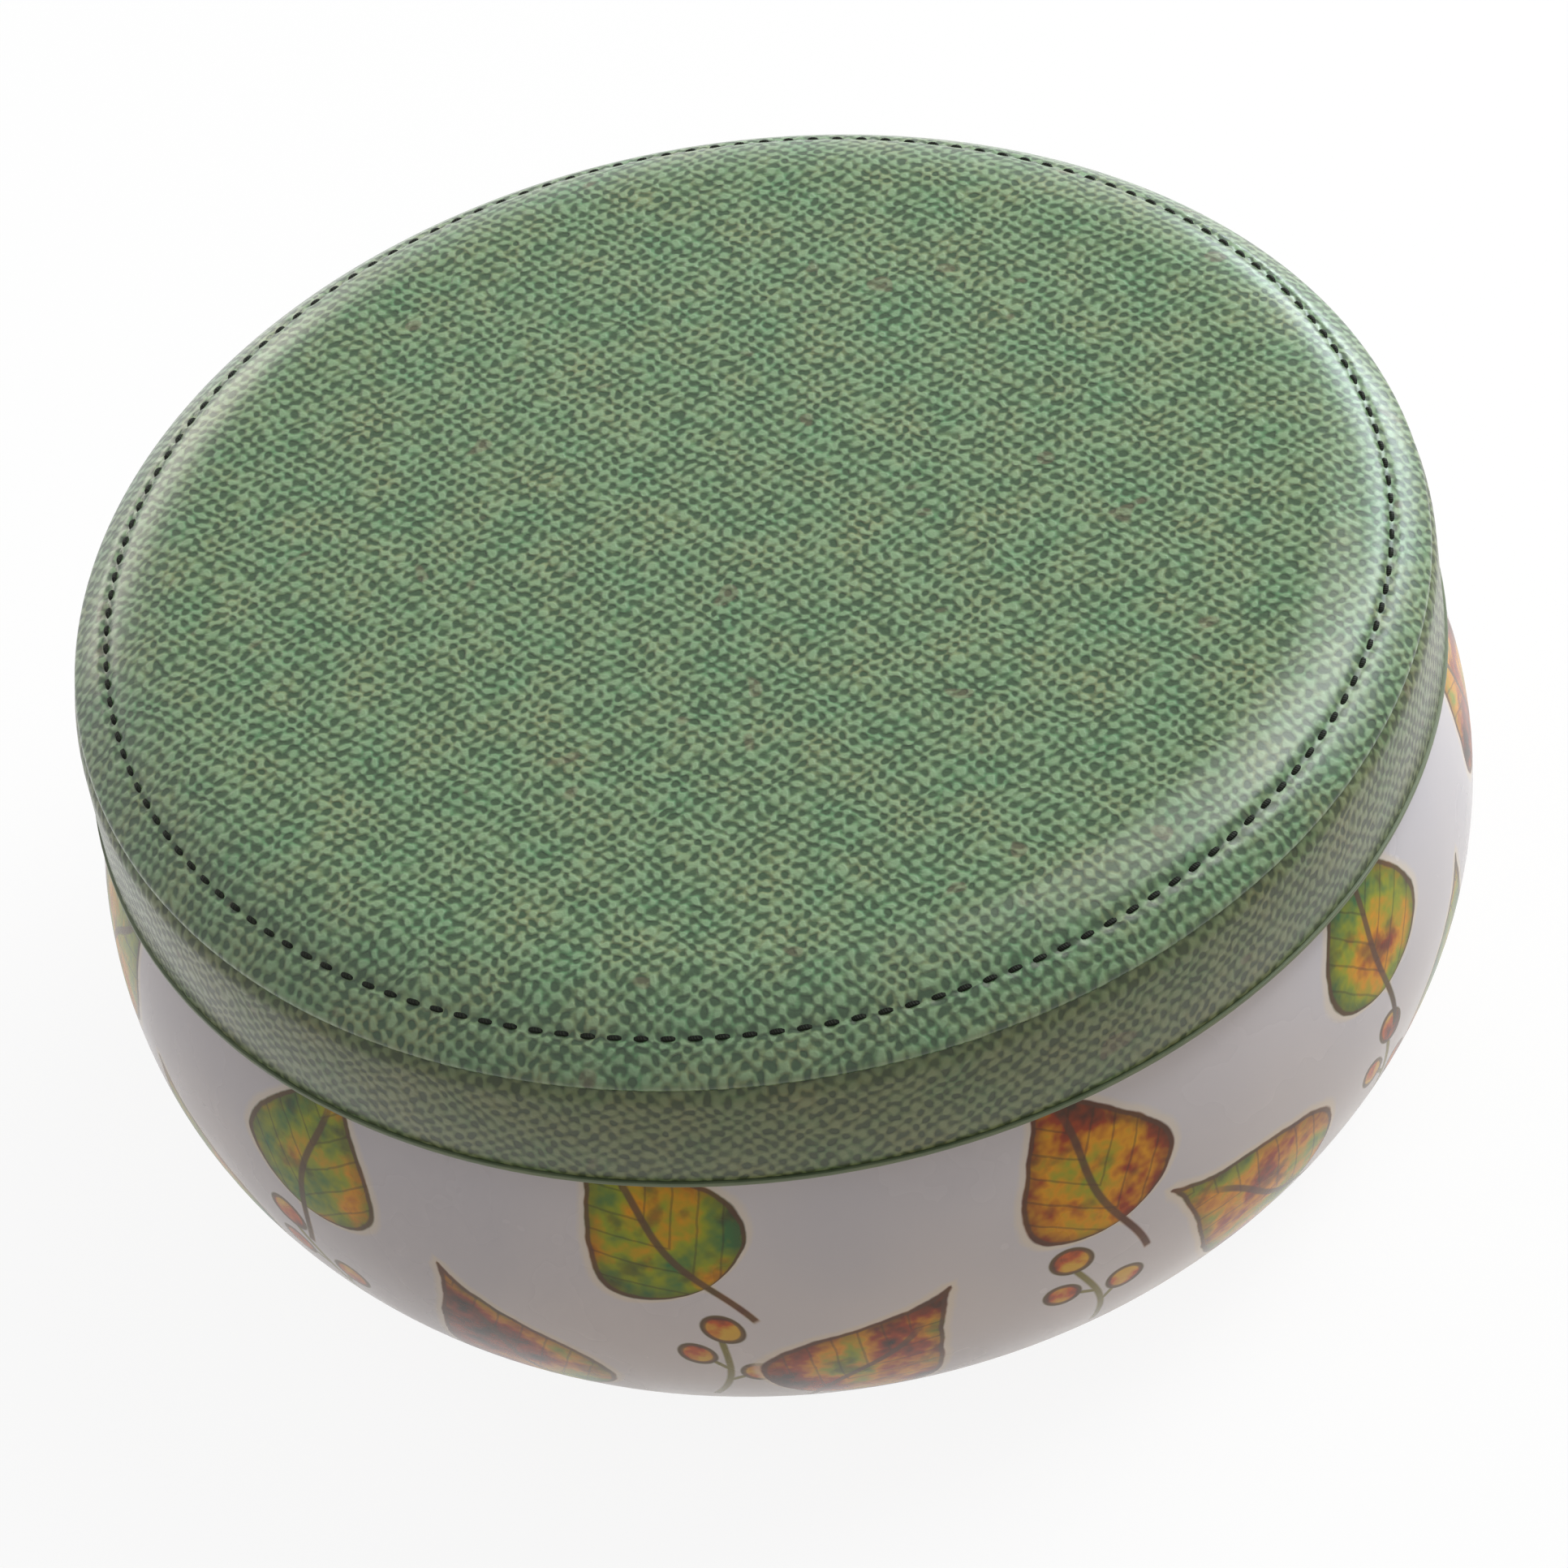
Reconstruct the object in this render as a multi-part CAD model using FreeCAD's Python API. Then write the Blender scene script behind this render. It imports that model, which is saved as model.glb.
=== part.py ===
import FreeCAD
import Part
import collections
import math
import os

# Round candy tin: a bulged tinplate body with a lift-off lid whose tin shell wears a sewn leatherette cover.
# Millimetres, +Z up, origin on the table in the middle of the foot. The seams are at the back, on +Y.
# Heights are above the table, and a rise or a drop is measured from the lid's lower edge.

# Sheets and skins
tin_thickness = 0.3
tin_bend_radius = 0.3
panel_thickness = 0.5
band_thickness = 0.5

# Clearances
layer_gap = 0.05
slip_clearance = 0.3
mouth_clearance = 1.9
thread_clearance = 0.04
pad_clearance = 0.3
butt_gap = 0.12

# Lid outline
lid_radius = 42.0
rim_proud = 0.15
crease_inset = 0.4
crease_rise = 8.35
crease_slope = 44.0
shoulder_radius = 11.0
dome_rise = 0.6
shell_corner_radius = 0.65

# Seam round the crown
stitch_inset = 2.05
stitch_pitch = 1.587
stitch_gap = 0.72
stitch_phase_share = 0.1
thread_diameter = 0.3
topstitch_sink = 0.08
allowance_margin = 2.2

# Body outline
rim_height = 27.0
neck_start_rise = 0.25
neck_bend_radius = 0.8
curl_radius = 0.9
curl_end = 285.0
belly_drop = 9.9
belly_bulge = 2.05
tuck_height = 3.13
tuck_slope = 41.0
side_seam_width = 4.0

# Foot and base
foot_width = 2.6
base_recess = 1.0
base_bend_radius = 0.6
base_leg = 0.5
hook_gap = 0.6
step_margin = 4.0
step_bend_radius = 1.2
step_slope = 45.0

point_tolerance = 1e-6

# Angles of the half-plane that the sections are drawn in, and of a turn about the tin's axis
outward = 0.0
up = 90.0
inward = 180.0
down = 270.0
full_turn = 360.0
back = 90.0

# A path is a sheet's front face, cut by the half-plane of radius and height. Bends and tips follow each other
# and straight runs join them. The sheet's thickness lies behind the front.
Bend = collections.namedtuple("Bend", "centre radius start end centre_behind")
Tip = collections.namedtuple("Tip", "point behind")


def at(centre, radius, angle):
    turn = math.radians(angle)
    return (centre[0] + radius * math.cos(turn), centre[1] + radius * math.sin(turn))


def vector(point):
    return FreeCAD.Vector(point[0], 0, point[1])


def line(start, end):
    return Part.LineSegment(vector(start), vector(end)).toShape()


def arc(centre, radius, start, end):
    points = [at(centre, radius, angle) for angle in (start, (start + end) / 2, end)]
    return Part.Arc(*[vector(point) for point in points]).toShape()


def face_line(path, depth=0):
    """Edges of the face that lies a depth behind a path's front, with its two ends."""
    edges = []
    ends = []
    for piece in path:
        if isinstance(piece, Tip):
            first = (piece.point[0] + depth * piece.behind[0], piece.point[1] + depth * piece.behind[1])
            last = first
        else:
            radius = piece.radius - depth if piece.centre_behind else piece.radius + depth
            first = at(piece.centre, radius, piece.start)
            last = at(piece.centre, radius, piece.end)
        if ends and math.dist(ends[-1], first) > point_tolerance:
            edges.append(line(ends[-1], first))
        if isinstance(piece, Bend):
            edges.append(arc(piece.centre, radius, piece.start, piece.end))
        ends += [first, last]
    return edges, ends[0], ends[-1]


def filled(edges):
    return Part.Face(Part.Wire(Part.__sortEdges__(edges)))


def sheet(path, thickness, depth=0):
    """Section of a sheet that starts a depth behind a path's front."""
    front, front_start, front_end = face_line(path, depth)
    rear, rear_start, rear_end = face_line(path, depth + thickness)
    return filled(front + rear + [line(front_start, rear_start), line(front_end, rear_end)])


def disc(centre, radius):
    circle = Part.makeCircle(radius, vector(centre), FreeCAD.Vector(0, 1, 0))
    return Part.Face(Part.Wire(circle))


def turned(section, sweep=full_turn, start=back):
    """Solid that a section makes when it is turned about the tin's axis."""
    placed = section.rotated(FreeCAD.Vector(), FreeCAD.Vector(0, 0, 1), start)
    return placed.revolve(FreeCAD.Vector(), FreeCAD.Vector(0, 0, 1), sweep)


def arc_sweep(length, radius):
    return math.degrees(length / radius)


# Layers of the lid, counted inward from its outer face
band_depth = panel_thickness + layer_gap
shell_depth = band_depth + band_thickness + layer_gap
shell_fold_radius = shell_corner_radius + tin_thickness
band_fold_radius = shell_fold_radius + layer_gap + band_thickness
band_radius = lid_radius - rim_proud
shell_radius = band_radius - band_thickness - layer_gap
neck_radius = shell_radius - tin_thickness - slip_clearance
flange_height = rim_height + tin_thickness

# The crown's outer face: a shallow dome that runs into a rounder shoulder, which ends at the crease
crease_radius = band_radius - crease_inset
crease_point = (crease_radius, rim_height + crease_rise)
shoulder_centre = at(crease_point, -shoulder_radius, up - crease_slope)
apex_height = shoulder_centre[1] + shoulder_radius + dome_rise
dome_radius = (shoulder_centre[0] ** 2 / dome_rise + 2 * shoulder_radius + dome_rise) / 2
dome_centre = (0, apex_height - dome_radius)
dome_slope = math.degrees(math.asin(shoulder_centre[0] / (dome_radius - shoulder_radius)))


def slope_at(radius):
    """Slope of the crown's outer face at a radius."""
    on_shoulder = (radius - shoulder_centre[0]) / shoulder_radius
    on_dome = radius / dome_radius
    return math.degrees(math.asin(max(on_shoulder, on_dome)))


def crown(depth, start_slope, end_slope):
    """Bends of the crown a depth below its outer face, between two slopes."""
    dome = Bend(dome_centre, dome_radius - depth, up - start_slope, up - min(end_slope, dome_slope), True)
    shoulder_start = max(start_slope, dome_slope)
    shoulder = Bend(shoulder_centre, shoulder_radius - depth, up - shoulder_start, up - end_slope, True)
    return [bend for bend in (dome, shoulder) if bend.start > bend.end]


def fold(depth, wall_radius, fold_radius):
    """Bend from the shoulder at a depth into an upright wall, and the slope where it starts."""
    reach = shoulder_radius - depth - fold_radius
    slope = math.degrees(math.asin((wall_radius - fold_radius - shoulder_centre[0]) / reach))
    centre = at(shoulder_centre, reach, up - slope)
    return Bend(centre, fold_radius, up - slope, outward, True), slope


# Places along the seam: the stitches, the allowance's inner edge and the pad's edge
stitch_radius = crease_radius - stitch_inset
stitch_slope = slope_at(stitch_radius)
allowance_slope = slope_at(stitch_radius - allowance_margin)
pad_slope = slope_at(stitch_radius - allowance_margin - pad_clearance)
thread_radius = thread_diameter / 2
bobbin_sink = band_depth + band_thickness - thread_radius


def seam_point(depth):
    return at(shoulder_centre, shoulder_radius - depth, up - stitch_slope)


def stitch_groove(depth):
    return turned(disc(seam_point(depth), thread_radius + thread_clearance))


def stitch_row(depth):
    """Separate stitches round the crown, with the pitch eased to a whole number of them."""
    section = disc(seam_point(depth), thread_radius)
    count = round(full_turn / arc_sweep(stitch_pitch, stitch_radius))
    step = full_turn / count
    sweep = step - arc_sweep(stitch_gap, stitch_radius)
    starts = [(number + stitch_phase_share) * step - sweep / 2 for number in range(count)]
    return Part.makeCompound([turned(section, sweep, start) for start in starts])


def make_top_panel():
    """Leatherette disc with a rounded edge and a groove that the stitches have pulled in."""
    front, top, _ = face_line(crown(0, 0, crease_slope))
    rear, under, lip = face_line(crown(panel_thickness, 0, crease_slope))
    rounding = arc(lip, panel_thickness, up - crease_slope, -crease_slope)
    closing = line(at(lip, panel_thickness, -crease_slope), lip)
    section = filled(front + rear + [rounding, closing, line(top, under)])
    return turned(section).cut(stitch_groove(topstitch_sink))


def make_side_band():
    """Leatherette strip round the skirt, its ends butted at the back and its allowance under the panel."""
    bend, slope = fold(band_depth, band_radius, band_fold_radius)
    hem = Tip((band_radius, flange_height + layer_gap), (-1, 0))
    section = sheet(crown(band_depth, allowance_slope, slope) + [bend, hem], band_thickness)
    gap = arc_sweep(butt_gap, band_radius)
    strip = turned(section, full_turn - gap, back + gap / 2)
    return strip.cut(stitch_groove(bobbin_sink))


def make_lid_pad():
    """Wadding as thick as the allowance that it lies inside."""
    return turned(sheet(crown(band_depth, 0, pad_slope), band_thickness))


def make_lid_shell():
    """Drawn tin cap with its lower edge turned out under the side band."""
    bend, slope = fold(shell_depth, shell_radius, shell_fold_radius)
    flange_centre = (shell_radius + layer_gap, flange_height + layer_gap)
    flange_bend = Bend(flange_centre, layer_gap, inward, down, False)
    flange_edge = Tip((lid_radius, flange_height), (0, -1))
    path = crown(shell_depth, 0, slope) + [bend, flange_bend, flange_edge]
    return turned(sheet(path, tin_thickness))


# The mouth's curl stays clear of the shell's inner face above it
curl_middle = neck_radius - curl_radius
shell_inner_radius = shoulder_radius - shell_depth - tin_thickness
roof_reach = math.acos((curl_middle - shoulder_centre[0]) / shell_inner_radius)
mouth_height = shoulder_centre[1] + shell_inner_radius * math.sin(roof_reach) - mouth_clearance

# The belly: one arc up to the neck, one down to the tuck, and a corner that lands on the table
belly_height = rim_height - belly_drop
belly_radius = neck_radius + belly_bulge
neck_start = belly_drop + neck_start_rise
upper_radius = (neck_start ** 2 + belly_bulge ** 2) / (2 * belly_bulge)
upper_centre = (belly_radius - upper_radius, belly_height)
lower_radius = (belly_height - tuck_height) / math.sin(math.radians(tuck_slope))
lower_centre = (belly_radius - lower_radius, belly_height)
corner_radius = tuck_height / (1 - math.sin(math.radians(tuck_slope)))
corner_centre = at(lower_centre, lower_radius - corner_radius, -tuck_slope)

# The wall's lower edge turns up, and the base plate hooks over it
foot_bend_radius = tin_bend_radius + tin_thickness
upstand_radius = corner_centre[0] - foot_width - foot_bend_radius
base_height = base_recess + tin_thickness
upstand_height = base_height + base_bend_radius + base_leg


def belly_path():
    """Bends of the wall from the neck down to the foot."""
    neck_reach = upper_radius + neck_bend_radius
    neck_turn = math.degrees(math.acos((neck_radius + neck_bend_radius - upper_centre[0]) / neck_reach))
    neck_centre = at(upper_centre, neck_reach, neck_turn)
    return [
        Bend(neck_centre, neck_bend_radius, inward, inward + neck_turn, False),
        Bend(upper_centre, upper_radius, neck_turn, outward, True),
        Bend(lower_centre, lower_radius, outward, -tuck_slope, True),
        Bend(corner_centre, corner_radius, -tuck_slope, down - full_turn, True),
    ]


def make_body_wall():
    """Rolled tin wall with an inward curl at the mouth and a lapped side seam at the back."""
    curl = Bend((curl_middle, mouth_height - curl_radius), curl_radius, curl_end, outward, True)
    foot_centre = (upstand_radius + foot_bend_radius, foot_bend_radius)
    foot_bend = Bend(foot_centre, foot_bend_radius, down, inward, True)
    upstand_edge = Tip((upstand_radius, upstand_height), (1, 0))
    wall = turned(sheet([curl] + belly_path() + [foot_bend, upstand_edge], tin_thickness))
    # The lap lies inside the wall and stops short of the neck's run and the foot
    lap = sheet(belly_path(), tin_thickness, tin_thickness / 2)
    sweep = arc_sweep(side_seam_width, belly_radius)
    return wall.fuse(turned(lap, sweep, back - sweep / 2)).removeSplitter()


def make_base_plate():
    """Tin disc with a raised middle, its rim hooked over the wall's turned-up edge."""
    leg_radius = upstand_radius - layer_gap - tin_thickness
    leg_bend_centre = (leg_radius - base_bend_radius, base_height + base_bend_radius)
    hook_centre = (upstand_radius + tin_thickness / 2, upstand_height)
    hook_radius = hook_centre[0] - leg_radius
    hook_end = Tip((hook_centre[0] + hook_radius, foot_bend_radius + hook_gap), (-1, 0))
    # The middle is raised by a step of two opposite bends
    step_low = (leg_radius - step_margin, base_height + step_bend_radius)
    step_high = at(step_low, -2 * step_bend_radius, up - step_slope)
    path = [
        Tip((0, step_high[1] + step_bend_radius), (0, -1)),
        Bend(step_high, step_bend_radius, up, up - step_slope, True),
        Bend(step_low, step_bend_radius, down - step_slope, down, False),
        Bend(leg_bend_centre, base_bend_radius, down, full_turn, False),
        Bend(hook_centre, hook_radius, inward, outward, True),
        hook_end,
    ]
    return turned(sheet(path, tin_thickness))


pieces = {
    "body_wall": make_body_wall(),
    "base_plate": make_base_plate(),
    "lid_shell": make_lid_shell(),
    "lid_pad": make_lid_pad(),
    "lid_top_panel": make_top_panel(),
    "lid_side_band": make_side_band(),
    "topstitch": stitch_row(topstitch_sink),
    "bobbin_thread": stitch_row(bobbin_sink),
}

os.makedirs("parts", exist_ok=True)
for name, shape in pieces.items():
    shape.exportStep(f"parts/{name}.step")
    box = shape.optimalBoundingBox()
    print(f"{name}: {len(shape.Solids)} solids, valid {shape.isValid()}, volume {shape.Volume:.2f} mm3,",
          f"radius {box.XMax:.3f}, height {box.ZMin:.3f} to {box.ZMax:.3f}")
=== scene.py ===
import bpy
import math
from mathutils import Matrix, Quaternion, Vector


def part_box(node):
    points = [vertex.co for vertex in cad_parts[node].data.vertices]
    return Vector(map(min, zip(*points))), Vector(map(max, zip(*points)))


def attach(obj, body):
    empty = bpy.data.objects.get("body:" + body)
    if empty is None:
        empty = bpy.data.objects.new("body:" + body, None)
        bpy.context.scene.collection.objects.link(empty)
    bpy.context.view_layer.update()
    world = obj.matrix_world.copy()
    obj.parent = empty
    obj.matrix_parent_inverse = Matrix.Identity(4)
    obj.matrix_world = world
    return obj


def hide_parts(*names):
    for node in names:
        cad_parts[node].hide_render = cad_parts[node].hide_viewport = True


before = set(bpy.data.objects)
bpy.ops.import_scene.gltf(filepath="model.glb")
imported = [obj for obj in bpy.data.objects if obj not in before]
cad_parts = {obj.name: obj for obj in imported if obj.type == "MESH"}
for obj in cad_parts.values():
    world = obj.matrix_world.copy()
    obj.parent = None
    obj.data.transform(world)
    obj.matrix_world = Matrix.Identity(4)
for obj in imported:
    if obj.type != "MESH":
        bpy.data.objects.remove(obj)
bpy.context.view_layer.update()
print("frame loaded:", ", ".join(sorted(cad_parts)))

mm = 0.001
smoothAngle = 40
softAngle = 50
tolerance = {"merge": 0.001, "point": 0.01, "degrees": 0.02, "share": 0.05}
sheetMetal = {"thickness": 0.3, "layerGap": 0.05}  # tinplate and glue lines, in mm as all the sizes below


# Modelling helpers

def clearSelection():
    if bpy.context.mode != "OBJECT":
        bpy.ops.object.mode_set(mode="OBJECT")
    bpy.ops.object.select_all(action="DESELECT")


def reach(node):  # outer radius of a turned CAD node
    low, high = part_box(node)
    return max(-low.x, -low.y, high.x, high.y) / mm


def lowest(node):
    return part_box(node)[0].z / mm


def highest(node):
    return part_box(node)[1].z / mm


def polar(centre, radius, degrees):
    turn = math.radians(degrees)
    return centre[0] + radius * math.cos(turn), centre[1] + radius * math.sin(turn)


def run(radius, height):
    return {"to": (radius, height)}


def bend(centre, degrees, steps):  # positive degrees turn from outward to up
    return {"centre": centre, "degrees": degrees, "steps": steps}


def drawOutline(name, start, strokes):
    # one point is pulled along runs and bends in the half-plane of radius and height
    clearSelection()
    bpy.ops.mesh.primitive_plane_add(size=mm)
    piece = bpy.context.object
    piece.name = piece.data.name = name
    bpy.ops.object.mode_set(mode="EDIT")
    bpy.ops.mesh.select_mode(type="VERT")
    bpy.ops.mesh.select_all(action="SELECT")
    bpy.ops.mesh.merge(type="CENTER")
    bpy.ops.transform.translate(value=(start[0] * mm, 0, start[1] * mm))
    tip = start
    for stroke in strokes:
        if "to" in stroke:
            step = ((stroke["to"][0] - tip[0]) * mm, 0, (stroke["to"][1] - tip[1]) * mm)
            bpy.ops.mesh.extrude_region_move(TRANSFORM_OT_translate={"value": step})
            tip = stroke["to"]
            continue
        centre = stroke["centre"]
        bpy.ops.mesh.spin(steps=stroke["steps"], angle=math.radians(stroke["degrees"]),
                          center=(centre[0] * mm, 0, centre[1] * mm), axis=(0, 1, 0))
        angle = math.degrees(math.atan2(tip[1] - centre[1], tip[0] - centre[0])) + stroke["degrees"]
        tip = polar(centre, math.dist(tip, centre), angle)
    return piece


def turnRound(piece, steps, sweep=360, start=0):
    # spins the outline about the tin's axis, from an angle measured from +X
    bpy.ops.mesh.select_all(action="SELECT")
    bpy.ops.mesh.spin(steps=steps, angle=math.radians(sweep), center=(0, 0, 0), axis=(0, 0, -1))
    bpy.ops.mesh.select_all(action="SELECT")
    bpy.ops.mesh.remove_doubles(threshold=tolerance["merge"] * mm)
    bpy.ops.mesh.normals_make_consistent(inside=False)
    bpy.ops.object.mode_set(mode="OBJECT")
    turnObject(piece, start)


def turnObject(piece, degrees):
    piece.rotation_euler.z = math.radians(degrees)
    bpy.ops.object.transform_apply(location=False, rotation=True, scale=False)


def selectPoints(piece, rule):
    if bpy.context.mode != "EDIT_MESH":
        bpy.ops.object.mode_set(mode="EDIT")
    bpy.ops.mesh.select_mode(type="VERT")
    bpy.ops.mesh.select_all(action="DESELECT")
    bpy.ops.object.mode_set(mode="OBJECT")
    for point in piece.data.vertices:
        point.select = rule(point.co / mm)
    bpy.ops.object.mode_set(mode="EDIT")


def applyModifier(piece, kind, **settings):
    modifier = piece.modifiers.new(kind.title(), kind)
    for name, value in settings.items():
        setattr(modifier, name, value)
    bpy.ops.object.modifier_apply(modifier=modifier.name)


def thicken(piece, thickness):
    # the wall grows inward; its inner face takes the second material
    piece.data.materials.append(None)
    piece.data.materials.append(None)
    applyModifier(piece, "SOLIDIFY", thickness=thickness * mm, offset=-1, use_even_offset=True,
                  use_quality_normals=True, material_offset=1)


def softenEdges(piece, width):
    applyModifier(piece, "BEVEL", width=width * mm, segments=2, limit_method="ANGLE",
                  angle_limit=math.radians(softAngle))


# Shader helpers

def srgb(red, green, blue):
    def linear(level):
        share = level / 255
        return share / 12.92 if share <= 0.04045 else ((share + 0.055) / 1.055) ** 2.4
    return linear(red), linear(green), linear(blue), 1.0


def addNode(tree, kind, **settings):
    node = tree.nodes.new(kind)
    for name, value in settings.items():
        setattr(node, name, value)
    return node


def feed(tree, socket, value):
    if isinstance(value, bpy.types.NodeSocket):
        tree.links.new(value, socket)
    else:
        socket.default_value = value


def calc(tree, operation, *values):
    node = addNode(tree, "ShaderNodeMath", operation=operation)
    for socket, value in zip(node.inputs, values):
        feed(tree, socket, value)
    return node.outputs[0]


def product(tree, first, second):
    return calc(tree, "MULTIPLY", first, second)


def swing(tree, chance, span):  # a chance from 0 to 1 as a swing to both sides
    return product(tree, calc(tree, "SUBTRACT", chance, 0.5), span)


def wave(tree, value, rate, size):
    return product(tree, calc(tree, "SINE", product(tree, value, rate)), size)


def softLine(tree, away, outer, inner):  # a stroke, from how far away its middle is
    return remap(tree, calc(tree, "ABSOLUTE", away), outer, inner)


def calcVector(tree, operation, *values):
    node = addNode(tree, "ShaderNodeVectorMath", operation=operation)
    for socket, value in zip(node.inputs, values):
        feed(tree, socket, value)
    return node.outputs["Value" if operation in ("DOT_PRODUCT", "LENGTH") else "Vector"]


def scaled(tree, vector, factor):
    node = addNode(tree, "ShaderNodeVectorMath", operation="SCALE")
    feed(tree, node.inputs[0], vector)
    feed(tree, node.inputs["Scale"], factor)
    return node.outputs["Vector"]


def joined(tree, x, y, z=0.0):
    node = addNode(tree, "ShaderNodeCombineXYZ")
    for socket, value in zip(node.inputs, (x, y, z)):
        feed(tree, socket, value)
    return node.outputs[0]


def split(tree, vector):
    node = addNode(tree, "ShaderNodeSeparateXYZ")
    feed(tree, node.inputs[0], vector)
    return node.outputs


def remap(tree, value, low, high, newLow=0.0, newHigh=1.0):
    # a soft step; the ranges in the dictionaries below hold its numbers, or the first two of them
    node = addNode(tree, "ShaderNodeMapRange", interpolation_type="SMOOTHSTEP")
    for socket, given in zip(node.inputs, (value, low, high, newLow, newHigh)):
        feed(tree, socket, given)
    return node.outputs[0]


def mixColour(tree, factor, first, second):
    node = addNode(tree, "ShaderNodeMix", data_type="RGBA")
    feed(tree, node.inputs["Factor"], factor)
    feed(tree, node.inputs[6], first)
    feed(tree, node.inputs[7], second)
    return node.outputs[2]


def noise(tree, vector, scale, detail=2.0, roughness=0.5):
    node = addNode(tree, "ShaderNodeTexNoise")
    feed(tree, node.inputs["Vector"], vector)
    node.inputs["Scale"].default_value = scale
    node.inputs["Detail"].default_value = detail
    node.inputs["Roughness"].default_value = roughness
    return node.outputs


def ramp(tree, factor, stops):
    node = addNode(tree, "ShaderNodeValToRGB")
    feed(tree, node.inputs[0], factor)
    elements = node.color_ramp.elements
    while len(elements) < len(stops):
        elements.new(1.0)
    for element, (place, colour) in zip(elements, stops):
        element.position = place
        element.color = colour
    return node.outputs[0]


def floats(*labels):
    return {label: "NodeSocketFloat" for label in labels}


def startGroup(name, inputs, outputs):
    group = bpy.data.node_groups.new(name, "ShaderNodeTree")
    for label, kind in inputs.items():
        group.interface.new_socket(label, in_out="INPUT", socket_type=kind)
    for label, kind in outputs.items():
        group.interface.new_socket(label, in_out="OUTPUT", socket_type=kind)
    entry = addNode(group, "NodeGroupInput")
    leaving = addNode(group, "NodeGroupOutput")
    return group, entry.outputs, leaving.inputs


def placeGroup(tree, group, **values):
    node = addNode(tree, "ShaderNodeGroup", node_tree=group)
    for label, value in values.items():
        feed(tree, node.inputs[label], value)
    return node.outputs


def startMaterial(name, **settings):
    material = bpy.data.materials.new(name)
    material.use_nodes = True
    tree = material.node_tree
    shader = tree.nodes["Principled BSDF"]
    for label, value in settings.items():
        shader.inputs[label.replace("_", " ")].default_value = value
    place = addNode(tree, "ShaderNodeTexCoord").outputs["Object"]
    return material, tree, shader, scaled(tree, place, 1 / mm)


def addBump(tree, shader, height, distance, strength=1.0):
    node = addNode(tree, "ShaderNodeBump")
    node.inputs["Strength"].default_value = strength
    node.inputs["Distance"].default_value = distance * mm
    feed(tree, node.inputs["Height"], height)
    feed(tree, shader.inputs["Normal"], node.outputs[0])


def roundCoordinates(tree, place):
    # turn from the front (-Y) in radians, with its break at the back seam, and height
    x, y, z = split(tree, place)
    return calc(tree, "ARCTAN2", x, product(tree, y, -1.0)), z


# Leatherette: worm-like ridges and pits in rough rows

grainSizes = {
    # crossing waves per mm, and their shares: two make the rows of pebbles, the third unsettles them
    "waves": ((-0.60, 1.08, 1.0), (0.94, 0.72, 1.0), (-1.54, 0.36, 0.45)),
    "slipScale": 0.34, "slipTurns": 2.0,  # how the waves slide against each other
    "jitterScale": 1.0, "jitterReach": 0.22, "wormScale": 1.1, "wormShare": 2.4,  # uneven pebbles
    "ridgeSpan": 1.7, "fineScale": 4.0, "fineShare": 0.25,
    "toneScale": 0.6, "toneSpan": 0.75, "patchScale": 0.2,
}


def makeGrainGroup():
    group, given, made = startGroup(
        "leatheretteGrain", {"Place": "NodeSocketVector"}, floats("Ridge", "Patch", "Height"))
    place = given["Place"]
    cloud = noise(group, place, grainSizes["jitterScale"])["Color"]
    jitter = calcVector(group, "SUBTRACT", cloud, (0.5, 0.5, 0.5))
    moved = calcVector(group, "ADD", place, scaled(group, jitter, 2 * grainSizes["jitterReach"]))
    slips = split(group, noise(group, place, grainSizes["slipScale"])["Color"])
    worms = noise(group, moved, grainSizes["wormScale"])["Fac"]
    total = swing(group, worms, grainSizes["wormShare"])
    for (acrossRate, alongRate, weight), slip in zip(grainSizes["waves"], slips):
        turn = (2 * math.pi * acrossRate, 2 * math.pi * alongRate, 0)
        slide = product(group, slip, 2 * math.pi * grainSizes["slipTurns"])
        phase = calc(group, "ADD", calcVector(group, "DOT_PRODUCT", moved, turn), slide)
        total = calc(group, "ADD", total, product(group, calc(group, "COSINE", phase), weight))
    ridge = remap(group, total, -grainSizes["ridgeSpan"], grainSizes["ridgeSpan"])
    fine = noise(group, place, grainSizes["fineScale"], roughness=0.6)["Fac"]
    tone = noise(group, place, grainSizes["toneScale"], detail=1.0)["Fac"]
    patch = noise(group, place, grainSizes["patchScale"], detail=4.0, roughness=0.7)["Fac"]
    feed(group, made["Ridge"], calc(group, "ADD", ridge, swing(group, tone, grainSizes["toneSpan"])))
    feed(group, made["Patch"], patch)
    feed(group, made["Height"], calc(group, "ADD", ridge, product(group, fine, grainSizes["fineShare"])))
    return group


grainGroup = makeGrainGroup()


grainLook = {
    "specular": 0.1, "coatRoughness": 0.24, "roughness": (0.0, 1.0, 0.6, 0.4),
    "patches": (0.36, 0.50, 0.68), "pitPaintedShadeRange": (0.0, 0.55), "ridgePaintedLightRange": (0.45, 1.0, 0.0, 0.5),
    "speckScale": 0.45, "specks": (0.79, 0.83, 0.0, 0.4),
}


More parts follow.
